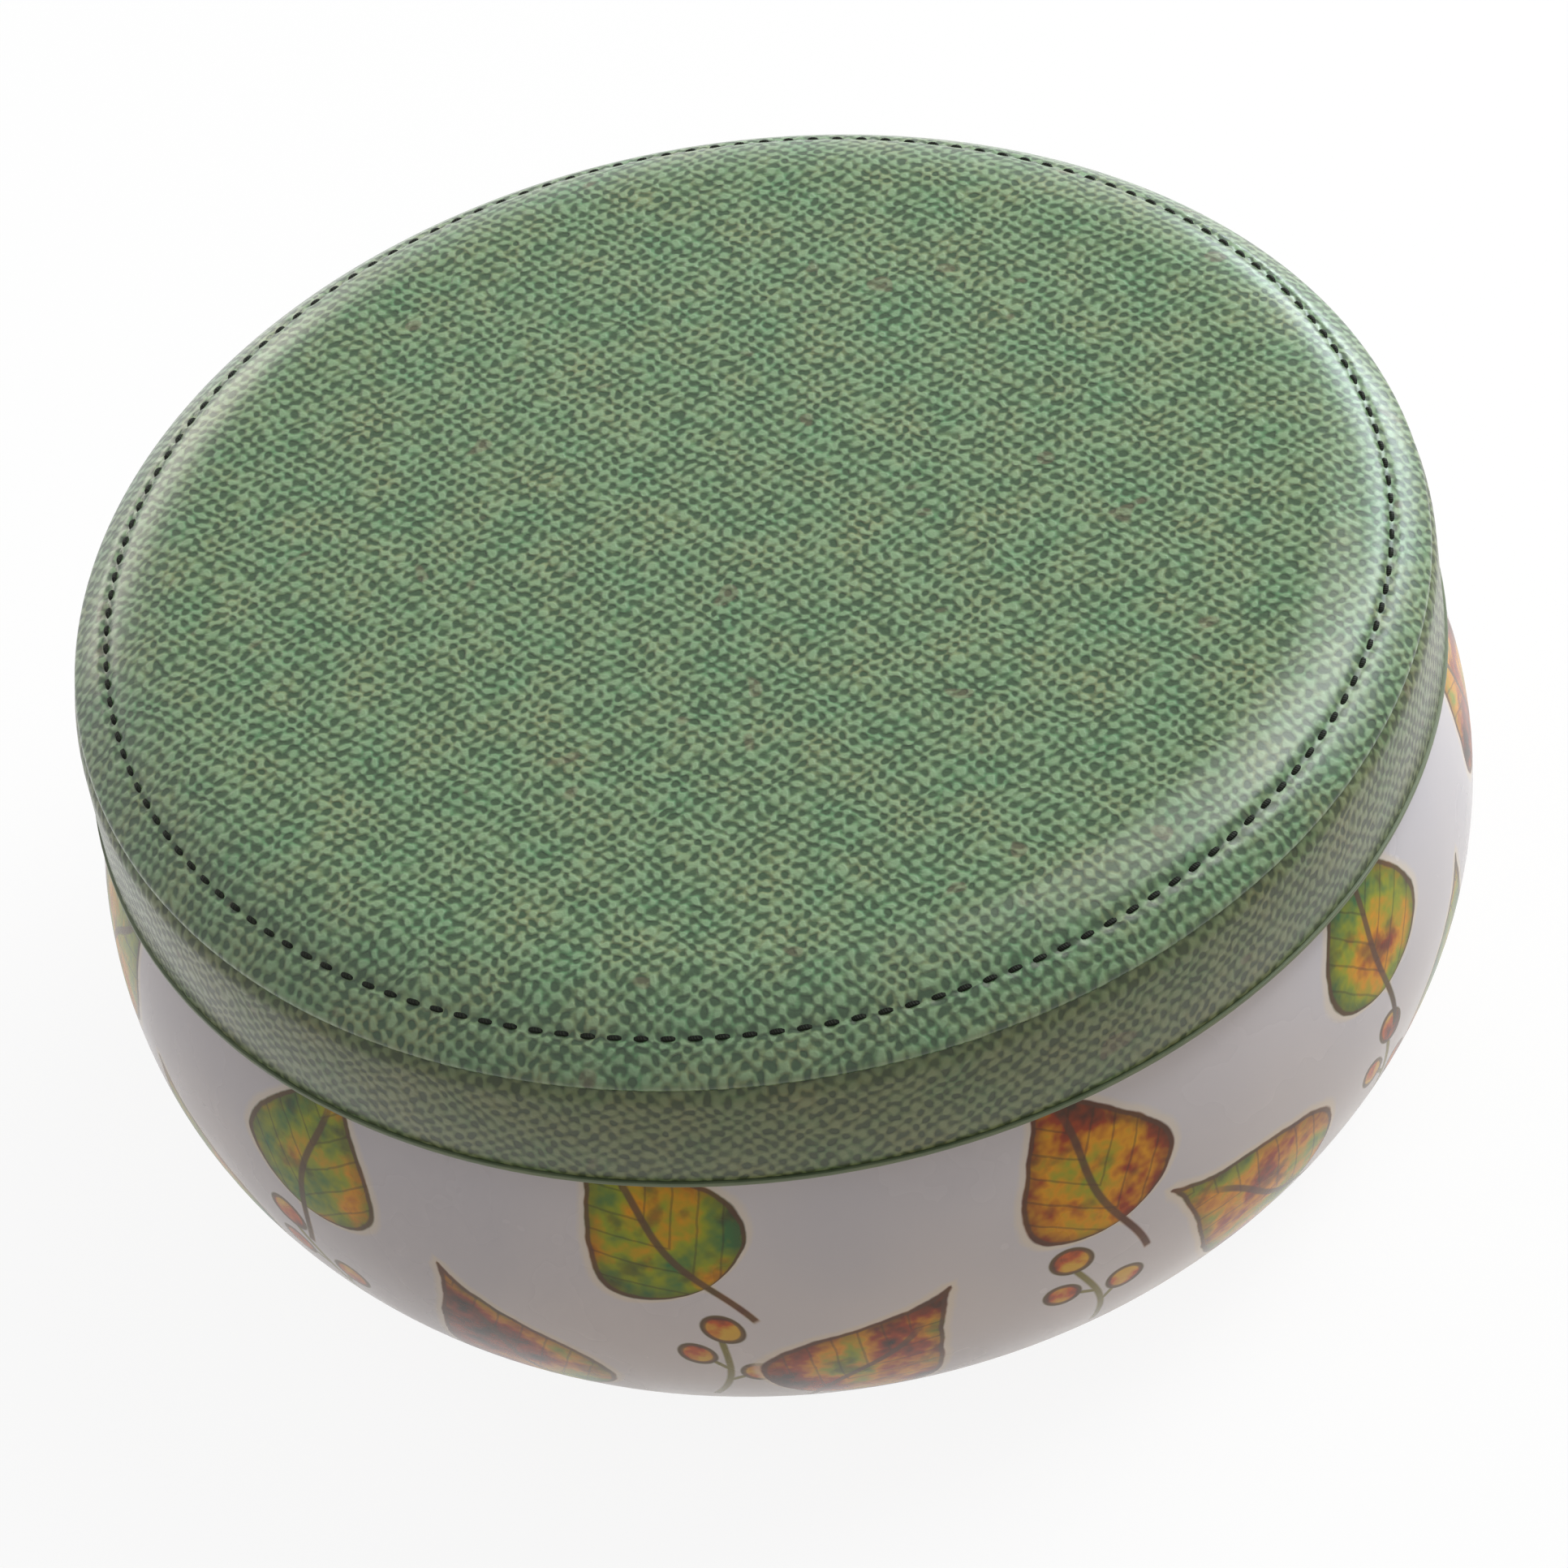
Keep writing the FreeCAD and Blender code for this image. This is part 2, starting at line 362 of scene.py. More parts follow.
def leatheretteFinish(name, grainPlace, colours):
    material, tree, shader, place = startMaterial(
        name, Specular_IOR_Level=grainLook["specular"], Coat_Roughness=grainLook["coatRoughness"])
    grain = placeGroup(tree, grainGroup, Place=grainPlace(tree, place))
    base = ramp(tree, grain["Patch"], list(zip(grainLook["patches"], colours["patches"])))
    # the grain's own tone, with painted shade darkening its pits and painted light brightening its ridge
    # tops, over the bump's real relief
    low = mixColour(tree, remap(tree, grain["Ridge"], *grainLook["pitPaintedShadeRange"]), colours["pitPaintedShade"], base)
    colour = mixColour(tree, remap(tree, grain["Ridge"], *grainLook["ridgePaintedLightRange"]), low, colours["ridge"])
    specks = noise(tree, place, grainLook["speckScale"], detail=0.0)["Fac"]
    colour = mixColour(tree, remap(tree, specks, *grainLook["specks"]), colour, colours["speck"])
    feed(tree, shader.inputs["Base Color"], colour)
    feed(tree, shader.inputs["Roughness"], remap(tree, grain["Ridge"], *grainLook["roughness"]))
    # handling polishes the rounded shoulder more than the crown
    x, y, _ = split(tree, place)
    radius = calcVector(tree, "LENGTH", joined(tree, x, y))
    feed(tree, shader.inputs["Coat Weight"], remap(tree, radius, *colours["polish"]))
    addBump(tree, shader, grain["Height"], colours["bump"])
    return material


# Lid: a tin shell under wadding and a leatherette cover

lid = {
    "creaseInset": 0.4, "creaseSlope": 44, "shoulderRadius": 11, "domeRise": 0.6,
    "panelThickness": 0.5, "bandThickness": 0.5, "shellCornerRadius": 0.65,
    "stitchInset": 2.05, "stitchPitch": 1.587, "stitchGap": 0.72, "stitchPhaseShare": 0.1,
    "allowanceMargin": 2.2, "padClearance": 0.3, "buttGap": 0.12, "bandEdge": 0.08, "shellEdge": 0.06,
    "steps": 192, "padSteps": 128,
}
rimRadius = reach("lid_shell")
bandRadius = reach("lid_side_band")
apexHeight = highest("lid_top_panel")
creaseRadius = bandRadius - lid["creaseInset"]
shoulderCentre = (creaseRadius - lid["shoulderRadius"] * math.sin(math.radians(lid["creaseSlope"])),
                  apexHeight - lid["domeRise"] - lid["shoulderRadius"])
domeRadius = (shoulderCentre[0] ** 2 / lid["domeRise"] + 2 * lid["shoulderRadius"] + lid["domeRise"]) / 2
domeCentre = (0, apexHeight - domeRadius)
domeSlope = math.degrees(math.asin(shoulderCentre[0] / (domeRadius - lid["shoulderRadius"])))
bandDepth = lid["panelThickness"] + sheetMetal["layerGap"]
shellDepth = bandDepth + lid["bandThickness"] + sheetMetal["layerGap"]
stitchRadius = creaseRadius - lid["stitchInset"]
stitchCount = round(2 * math.pi * stitchRadius / lid["stitchPitch"])
stitchStep = 360 / stitchCount
stitchPhase = lid["stitchPhaseShare"] * stitchStep


def slopeAt(radius):
    return math.degrees(math.asin((radius - shoulderCentre[0]) / lid["shoulderRadius"]))


def foldAt(depth, wallRadius, foldRadius):  # the bend from the shoulder into an upright wall, and its slope
    gap = lid["shoulderRadius"] - depth - foldRadius
    slope = math.degrees(math.asin((wallRadius - foldRadius - shoulderCentre[0]) / gap))
    return polar(shoulderCentre, gap, 90 - slope), slope


def crownStrokes(endSlope, domeSteps, shoulderSteps):
    return [bend(domeCentre, -domeSlope, domeSteps),
            bend(shoulderCentre, domeSlope - endSlope, shoulderSteps)]


def crownBack(endSlope, domeSteps, shoulderSteps):
    return [bend(shoulderCentre, endSlope - domeSlope, shoulderSteps), bend(domeCentre, domeSlope, domeSteps)]


stitchSlope = slopeAt(stitchRadius)
seamPoint = polar(shoulderCentre, lid["shoulderRadius"], 90 - stitchSlope)
seamNormal = (math.cos(math.radians(90 - stitchSlope)), math.sin(math.radians(90 - stitchSlope)))

panelPull = {
    "depth": 0.17, "width": 0.75, "gapLift": 0.09, "gapWidth": 0.45, "holeDepth": 0.08, "holeWidth": 0.2,
    "pointsPerStitch": 4,
}


def makeTopPanel():
    slope = lid["creaseSlope"]
    lip = polar(shoulderCentre, lid["shoulderRadius"] - lid["panelThickness"], 90 - slope)
    strokes = [
        bend(domeCentre, -domeSlope, 14),
        bend(shoulderCentre, domeSlope - stitchSlope, 20),
        bend(shoulderCentre, stitchSlope - slope, 12),
        bend(lip, -90, 6),
        run(*lip),
    ] + crownBack(slope, 8, 12)
    panel = drawOutline("lid_cover_top", (0, apexHeight), strokes)
    # the seam pulls the skin in along the stitches
    selectPoints(panel, lambda point: math.dist((point.x, point.z), seamPoint) < tolerance["point"])
    pull = [-panelPull["depth"] * mm * part for part in seamNormal]
    bpy.ops.transform.translate(value=(pull[0], 0, pull[1]), use_proportional_edit=True,
                                use_proportional_connected=True, proportional_edit_falloff="SMOOTH",
                                proportional_size=panelPull["width"] * mm)
    turnRound(panel, stitchCount * panelPull["pointsPerStitch"])

    # between two stitches the skin swells, and it dips where the thread goes in
    def nearSeam(point, shares, width):
        share = math.degrees(math.atan2(point.y, point.x)) / stitchStep % 1
        away = math.dist((math.hypot(point.x, point.y), point.z), seamPoint)
        return away < width and any(abs(share - wanted) < tolerance["share"] for wanted in shares)

    selectPoints(panel, lambda point: nearSeam(point, (0.5,), panelPull["gapWidth"]))
    bpy.ops.transform.shrink_fatten(value=panelPull["gapLift"] * mm)
    selectPoints(panel, lambda point: nearSeam(point, (0.25, 0.75), panelPull["holeWidth"]))
    bpy.ops.transform.shrink_fatten(value=-panelPull["holeDepth"] * mm)
    bpy.ops.object.mode_set(mode="OBJECT")
    turnObject(panel, stitchPhase)
    return panel


bandFold = (lid["shellCornerRadius"] + sheetMetal["thickness"] + sheetMetal["layerGap"]
            + lid["bandThickness"])
bandCorner, bandSlope = foldAt(bandDepth, bandRadius, bandFold)
allowanceSlope = slopeAt(stitchRadius - lid["allowanceMargin"])


def makeSideBand():
    strokes = [run(bandRadius, bandCorner[1]), bend(bandCorner, 90 - bandSlope, 8),
               bend(shoulderCentre, bandSlope - allowanceSlope, 10)]
    band = drawOutline("lid_cover_band", (bandRadius, lowest("lid_side_band")), strokes)
    gap = math.degrees(lid["buttGap"] / bandRadius)
    turnRound(band, lid["steps"], 360 - gap, 90 + gap / 2)
    thicken(band, lid["bandThickness"])
    softenEdges(band, lid["bandEdge"])
    return band


def makeLidShell():
    wallRadius = bandRadius - lid["bandThickness"] - sheetMetal["layerGap"]
    foldCentre, slope = foldAt(shellDepth, wallRadius, lid["shellCornerRadius"] + sheetMetal["thickness"])
    flangeHeight = lowest("lid_shell") + sheetMetal["thickness"]
    flangeCentre = (wallRadius + sheetMetal["layerGap"], flangeHeight + sheetMetal["layerGap"])
    strokes = crownStrokes(slope, 10, 12) + [
        bend(foldCentre, slope - 90, 6), run(wallRadius, flangeCentre[1]),
        bend(flangeCentre, 90, 3), run(rimRadius, flangeHeight)]
    shell = drawOutline("lid_tin_shell", (0, apexHeight - shellDepth), strokes)
    turnRound(shell, lid["steps"])
    thicken(shell, sheetMetal["thickness"])
    softenEdges(shell, lid["shellEdge"])
    return shell


def makeLidPad():
    slope = slopeAt(stitchRadius - lid["allowanceMargin"] - lid["padClearance"])
    middle = polar(shoulderCentre, lid["shoulderRadius"] - bandDepth - lid["bandThickness"] / 2, 90 - slope)
    strokes = crownStrokes(slope, 10, 6) + [bend(middle, -180, 6)] + crownBack(slope, 10, 6)
    pad = drawOutline("lid_wadding", (0, apexHeight - bandDepth), strokes)
    turnRound(pad, lid["padSteps"])
    return pad


stitch = {
    "diameter": 0.35, "sink": 0.16, "sides": 6, "rings": 5,
    "endDip": 0.2, "shoulderDip": 0.02, "rise": 0.02,
}


def makeTopstitch():
    sweep = stitchStep - math.degrees(lid["stitchGap"] / stitchRadius)
    clearSelection()
    bpy.ops.mesh.primitive_circle_add(vertices=stitch["sides"], radius=stitch["diameter"] / 2 * mm,
                                      rotation=(math.pi / 2, 0, 0))
    thread = bpy.context.object
    thread.name = thread.data.name = "lid_topstitch"
    bpy.ops.object.transform_apply(location=False, rotation=True, scale=False)
    bpy.ops.object.mode_set(mode="EDIT")
    centre = polar(shoulderCentre, lid["shoulderRadius"] - stitch["sink"], 90 - stitchSlope)
    bpy.ops.transform.translate(value=(centre[0] * mm, 0, centre[1] * mm))
    bpy.ops.mesh.spin(steps=stitch["rings"], angle=math.radians(sweep), center=(0, 0, 0), axis=(0, 0, -1))
    # the ends dive into the skin and the middle stands proud
    for ring in range(stitch["rings"] + 1):
        fromEnd = min(ring, stitch["rings"] - ring)
        lift = (-stitch["endDip"], -stitch["shoulderDip"], stitch["rise"])[fromEnd]
        turn = sweep * ring / stitch["rings"]
        selectPoints(thread, lambda point: abs(
            math.degrees(math.atan2(point.y, point.x)) - turn) < tolerance["degrees"])
        bpy.ops.transform.translate(value=(lift * seamNormal[0] * mm, 0, lift * seamNormal[1] * mm))
        if fromEnd == 0:
            bpy.ops.mesh.edge_face_add()
    bpy.ops.mesh.select_all(action="SELECT")
    bpy.ops.mesh.normals_make_consistent(inside=False)
    bpy.ops.mesh.spin(steps=stitchCount - 1, dupli=True, angle=math.radians(360 - stitchStep),
                      center=(0, 0, 0), axis=(0, 0, -1))
    bpy.ops.object.mode_set(mode="OBJECT")
    turnObject(thread, stitchPhase - sweep / 2)
    return thread


# Body: a rolled, bulged wall with a curled mouth, and a base plate hooked over its foot

tin = {
    "neckStartRise": 0.25, "neckBendRadius": 0.8, "curlRadius": 0.9, "curlTurn": 285,
    "bellyDrop": 9.9, "bellyBulge": 2.05, "tuckHeight": 3.13, "tuckSlope": 41, "seamWidth": 4.0,
    "footWidth": 2.6, "footBendRadius": 0.6, "baseRecess": 1.0, "baseBendRadius": 0.6, "baseLeg": 0.5,
    "hookGap": 0.6, "stepMargin": 4.0, "stepBendRadius": 1.2, "stepSlope": 45,
    "lapEdge": 0.05, "baseEdge": 0.06, "steps": 192, "lapSteps": 8,
}
bellyRadius = reach("body_wall")
neckRadius = bellyRadius - tin["bellyBulge"]
bellyHeight = lowest("lid_shell") - tin["bellyDrop"]
neckStart = tin["bellyDrop"] + tin["neckStartRise"]
upperRadius = (neckStart ** 2 + tin["bellyBulge"] ** 2) / (2 * tin["bellyBulge"])
upperCentre = (bellyRadius - upperRadius, bellyHeight)
lowerRadius = (bellyHeight - tin["tuckHeight"]) / math.sin(math.radians(tin["tuckSlope"]))
lowerCentre = (bellyRadius - lowerRadius, bellyHeight)
cornerRadius = tin["tuckHeight"] / (1 - math.sin(math.radians(tin["tuckSlope"])))
cornerCentre = polar(lowerCentre, lowerRadius - cornerRadius, -tin["tuckSlope"])
upstandRadius = cornerCentre[0] - tin["footWidth"] - tin["footBendRadius"]
baseHeight = tin["baseRecess"] + sheetMetal["thickness"]
upstandHeight = baseHeight + tin["baseBendRadius"] + tin["baseLeg"]
neckReach = upperRadius + tin["neckBendRadius"]
neckTurn = math.degrees(math.acos((neckRadius + tin["neckBendRadius"] - upperCentre[0]) / neckReach))
neckCentre = polar(upperCentre, neckReach, neckTurn)


def bellyStrokes():
    return [bend(neckCentre, neckTurn, 6), bend(upperCentre, -neckTurn, 16),
            bend(lowerCentre, -tin["tuckSlope"], 20), bend(cornerCentre, tin["tuckSlope"] - 90, 14)]


def makeBodyWall():
    curlCentre = (neckRadius - tin["curlRadius"], highest("body_wall") - tin["curlRadius"])
    footCentre = (upstandRadius + tin["footBendRadius"], tin["footBendRadius"])
    strokes = [bend(curlCentre, -tin["curlTurn"], 22), run(neckRadius, neckCentre[1])] + bellyStrokes() + [
        run(footCentre[0], 0), bend(footCentre, -90, 6), run(upstandRadius, upstandHeight)]
    wall = drawOutline("body_tin_wall", polar(curlCentre, tin["curlRadius"], tin["curlTurn"]), strokes)
    turnRound(wall, tin["steps"])
    thicken(wall, sheetMetal["thickness"])
    return wall


def makeSideSeam():  # the lap of the rolled wall, a strip inside its back
    sweep = math.degrees(tin["seamWidth"] / bellyRadius)
    lap = drawOutline("body_side_seam", (neckRadius - sheetMetal["thickness"], neckCentre[1]), bellyStrokes())
    turnRound(lap, tin["lapSteps"], sweep, 90 - sweep / 2)
    thicken(lap, sheetMetal["thickness"] / 2)
    softenEdges(lap, tin["lapEdge"])
    return lap


def makeBasePlate():
    legRadius = upstandRadius - sheetMetal["layerGap"] - sheetMetal["thickness"]
    legCentre = (legRadius - tin["baseBendRadius"], baseHeight + tin["baseBendRadius"])
    hookCentre = (upstandRadius + sheetMetal["thickness"] / 2, upstandHeight)
    hookRadius = hookCentre[0] - legRadius
    stepLow = (legRadius - tin["stepMargin"], baseHeight + tin["stepBendRadius"])
    stepHigh = polar(stepLow, -2 * tin["stepBendRadius"], 90 - tin["stepSlope"])
    middleHeight = stepHigh[1] + tin["stepBendRadius"]
    strokes = [run(stepHigh[0], middleHeight), bend(stepHigh, -tin["stepSlope"], 6),
               bend(stepLow, tin["stepSlope"], 6), run(legCentre[0], baseHeight), bend(legCentre, 90, 6),
               run(legRadius, upstandHeight), bend(hookCentre, -180, 10),
               run(hookCentre[0] + hookRadius, tin["footBendRadius"] + tin["hookGap"])]
    plate = drawOutline("body_base_plate", (0, middleHeight), strokes)
    turnRound(plate, tin["steps"])
    thicken(plate, sheetMetal["thickness"])
    softenEdges(plate, tin["baseEdge"])
    return plate


# Painted print: leaves, sprigs and berries in loose rows round the body

leafShape = {
    "brushScale": 0.45, "wobble": 0.56, "bellyPower": 0.62, "tipPower": 0.4, "fullness": 0.62,
    "fill": (0.05, -0.12), "line": (0.30, 0.10), "lineInset": 0.05, "lineShare": 0.85, "halo": (0.95, 0.35),
    "stalk": (0.34, 0.16), "stalkFoot": (-4.2, -3.8), "stalkTop": (0.86, 0.6), "sway": (0.5, 0.4),
    "vein": (0.07, 0.02), "veinSlant": 1.1, "veinRate": 0.42, "veinShare": 0.45,
    "washScale": 0.16, "washSeed": 31.0, "washShift": 0.22,
    "pooled": (-1.6, -0.1, 0.0, 0.4), "grainy": (0.52, 0.7, 0.0, 0.55),
}
leafColours = {
    "paint": ((0.30, srgb(58, 38, 24)), (0.39, srgb(160, 64, 20)), (0.47, srgb(218, 152, 18)),
              (0.55, srgb(150, 158, 32)), (0.66, srgb(62, 112, 62))),
    "pooled": srgb(72, 54, 30), "grainy": srgb(66, 48, 30),
    "vein": srgb(64, 48, 26), "line": srgb(92, 62, 44),
}


def makeLeafGroup():
    group, given, made = startGroup(
        "paintedLeaf", floats("Across", "Along", "Length", "Width", "Seed"),
        {"Colour": "NodeSocketColor", **floats("Cover", "Halo")})
    across, along = given["Across"], given["Along"]
    paper = joined(group, across, along, given["Seed"])
    brush = noise(group, paper, leafShape["brushScale"], detail=3.0)["Fac"]
    share = calc(group, "DIVIDE", along, given["Length"])
    inside = calc(group, "MINIMUM", calc(group, "MAXIMUM", share, 0.0), 1.0)
    belly = wave(group, calc(group, "POWER", inside, leafShape["bellyPower"]), math.pi, 1.0)
    taper = calc(group, "POWER", calc(group, "SUBTRACT", 1.0, inside), leafShape["tipPower"])
    half = product(group, product(group, belly, taper), product(group, given["Width"], leafShape["fullness"]))
    aside = calc(group, "ABSOLUTE", calc(group, "ADD", across, swing(group, brush, leafShape["wobble"])))
    edge = calc(group, "SUBTRACT", aside, half)
    # beyond its two tips the leaf ends, apart from a stalk below
    past = product(group, calc(group, "ABSOLUTE", calc(group, "SUBTRACT", share, inside)), given["Length"])
    edge = calc(group, "ADD", edge, past)
    fill = remap(group, edge, *leafShape["fill"])
    line = softLine(group, calc(group, "ADD", edge, leafShape["lineInset"]), *leafShape["line"])
    sway = wave(group, along, *leafShape["sway"])
    foot = remap(group, along, *leafShape["stalkFoot"])
    top = remap(group, share, *leafShape["stalkTop"])
    stalk = softLine(group, calc(group, "ADD", across, sway), *leafShape["stalk"])
    stalk = product(group, stalk, product(group, foot, top))
    slant = calc(group, "SUBTRACT", along, product(group, aside, leafShape["veinSlant"]))
    beat = calc(group, "SUBTRACT", calc(group, "FRACT", product(group, slant, leafShape["veinRate"])), 0.5)
    vein = product(group, softLine(group, beat, *leafShape["vein"]), fill)
    # washes of wet paint that run into each other
    paper = joined(group, across, along, calc(group, "ADD", given["Seed"], leafShape["washSeed"]))
    wash = noise(group, paper, leafShape["washScale"], detail=4.0, roughness=0.6)["Fac"]
    shift = swing(group, calc(group, "FRACT", given["Seed"]), leafShape["washShift"])
    paint = ramp(group, calc(group, "ADD", wash, shift), leafColours["paint"])
    pooled = mixColour(group, remap(group, edge, *leafShape["pooled"]), paint, leafColours["pooled"])
    grainy = mixColour(group, remap(group, brush, *leafShape["grainy"]), pooled, leafColours["grainy"])
    veined = mixColour(group, product(group, vein, leafShape["veinShare"]), grainy, leafColours["vein"])
    drawn = product(group, calc(group, "MAXIMUM", line, stalk), leafShape["lineShare"])
    feed(group, made["Colour"], mixColour(group, drawn, veined, leafColours["line"]))
    feed(group, made["Cover"], calc(group, "MAXIMUM", calc(group, "MAXIMUM", fill, line), stalk))
    feed(group, made["Halo"], remap(group, edge, *leafShape["halo"]))
    return group


sprigShape = {
    # each berry's place beside and along the stem, and its radius
    "berries": ((1.9, 5.4, 1.15), (-1.8, 7.2, 1.05), (0.3, 10.2, 1.2)), "fill": (0.05, -0.1),
    "rim": (0.26, 0.10), "rimShare": 0.8, "washScale": 0.5,
    "stem": (0.32, 0.14), "stemFoot": (-0.2, 0.2), "stemTop": (10.2, 9.8), "sway": (0.35, 0.8),
    "stalk": (0.36, 0.16), "stalkStart": (-0.1, 0.1), "stalkDrop": 1.6, "stalkFade": 0.4,
}
sprigColours = {
    "skin": ((0.35, srgb(112, 52, 30)), (0.48, srgb(192, 92, 36)), (0.62, srgb(212, 168, 60))),
    "stem": srgb(128, 118, 52), "rim": srgb(88, 60, 42),
}


def makeSprigGroup():
    group, given, made = startGroup(
        "paintedSprig", floats("Across", "Along", "Seed"), {"Colour": "NodeSocketColor", **floats("Cover")})
    across, along = given["Across"], given["Along"]
    sway = wave(group, along, *sprigShape["sway"])
    aside = calc(group, "SUBTRACT", across, sway)
    foot = remap(group, along, *sprigShape["stemFoot"])
    top = remap(group, along, *sprigShape["stemTop"])
    stroke = product(group, softLine(group, aside, *sprigShape["stem"]), product(group, foot, top))
    rounds = 0.0
    rims = 0.0
    for sideways, upward, size in sprigShape["berries"]:
        toSide = calc(group, "SUBTRACT", aside, sideways)
        toCentre = joined(group, toSide, calc(group, "SUBTRACT", along, upward))
        away = calc(group, "SUBTRACT", calcVector(group, "LENGTH", toCentre), size)
        rounds = calc(group, "MAXIMUM", rounds, remap(group, away, *sprigShape["fill"]))
        rims = calc(group, "MAXIMUM", rims, softLine(group, away, *sprigShape["rim"]))
        # a short stalk from the stem out to the berry
        outward = product(group, aside, math.copysign(1.0, sideways))
        slope = calc(group, "SUBTRACT", along, calc(group, "ADD", upward - sprigShape["stalkDrop"], outward))
        start = remap(group, outward, *sprigShape["stalkStart"])
        end = remap(group, outward, abs(sideways), abs(sideways) - sprigShape["stalkFade"])
        stalk = product(group, softLine(group, slope, *sprigShape["stalk"]), product(group, start, end))
        stroke = calc(group, "MAXIMUM", stroke, stalk)
    paper = joined(group, across, along, given["Seed"])
    wash = noise(group, paper, sprigShape["washScale"], detail=3.0)["Fac"]
    colour = mixColour(group, rounds, sprigColours["stem"], ramp(group, wash, sprigColours["skin"]))
    rimmed = mixColour(group, product(group, rims, sprigShape["rimShare"]), colour, sprigColours["rim"])
    feed(group, made["Colour"], rimmed)
    feed(group, made["Cover"], calc(group, "MAXIMUM", calc(group, "MAXIMUM", rounds, rims), stroke))
    return group


printRows = {
    "leaves": ({"count": 11, "height": -6.0, "lean": 1.8, "seed": 3.0, "length": 15.0, "width": 11.0},
               {"count": 11, "height": 7.0, "lean": 1.6, "seed": 57.0, "length": 13.0, "width": 9.5}),
    "sprigs": ({"count": 11, "height": -13.0, "lean": 0.6, "seed": 91.0},),
    "sideways": 3.0, "upward": 2.5, "seedSpan": 40.0,
}


def makeRowGroup():
    # one motif in each of a row of cells round the body, each shifted and tilted by its own chance
    group, given, made = startGroup(
        "motifRow", floats("Turn", "Up", "Count", "Height", "Lean", "Seed"),
        floats("Across", "Along", "Chance"))
    share = calc(group, "ADD", calc(group, "DIVIDE", given["Turn"], 2 * math.pi), 0.5)
    cell = product(group, share, given["Count"])
    number = calc(group, "FLOOR", cell)
    wrapped = calc(group, "FLOORED_MODULO", number, given["Count"])  # a motif across the seam is one cell
    chance = addNode(group, "ShaderNodeTexWhiteNoise", noise_dimensions="1D")
    feed(group, chance.inputs["W"], calc(group, "ADD", wrapped, given["Seed"]))
    draws = split(group, chance.outputs["Color"])
    width = calc(group, "DIVIDE", 2 * math.pi * bellyRadius, given["Count"])
    offset = swing(group, calc(group, "SUBTRACT", cell, number), width)
    side = calc(group, "ADD", offset, swing(group, draws[0], printRows["sideways"]))
    level = calc(group, "ADD", given["Height"], swing(group, draws[1], printRows["upward"]))
    rise = calc(group, "SUBTRACT", given["Up"], level)
    lean = swing(group, draws[2], given["Lean"])
    cosine = calc(group, "COSINE", lean)
    sine = calc(group, "SINE", lean)
    across = calc(group, "SUBTRACT", product(group, side, cosine), product(group, rise, sine))
    along = calc(group, "ADD", product(group, side, sine), product(group, rise, cosine))
    feed(group, made["Across"], across)
    feed(group, made["Along"], along)
    feed(group, made["Chance"], product(group, chance.outputs["Value"], printRows["seedSpan"]))
    return group


lacquer = {
    # the warm colour and its fade by height are a painted warm reflection and painted shade on the lower
    # belly
    "white": srgb(216, 212, 217), "shade": srgb(207, 205, 213), "paintedWarmReflection": srgb(204, 186, 164),
    "halo": srgb(228, 216, 196), "seam": srgb(206, 203, 208), "joint": srgb(120, 116, 114),
    "cloudScale": 0.05, "cloud": (0.35, 0.65), "paintedReflectionFade": (7.0, 0.5, 0.0, 0.7), "haloShare": 0.55,
    # turns from the back, in radians, within which the print stops and the joint shows
    "seamTurn": (0.022, 0.018), "jointTurn": (0.0035, 0.002, 0.0, 0.7),
    "specular": 0.3, "smearScale": 0.12, "roughness": (0.3, 0.7, 0.2, 0.3),
    "peelScale": 0.9, "peel": (0.02, 0.35),  # depth and strength of the bump
}


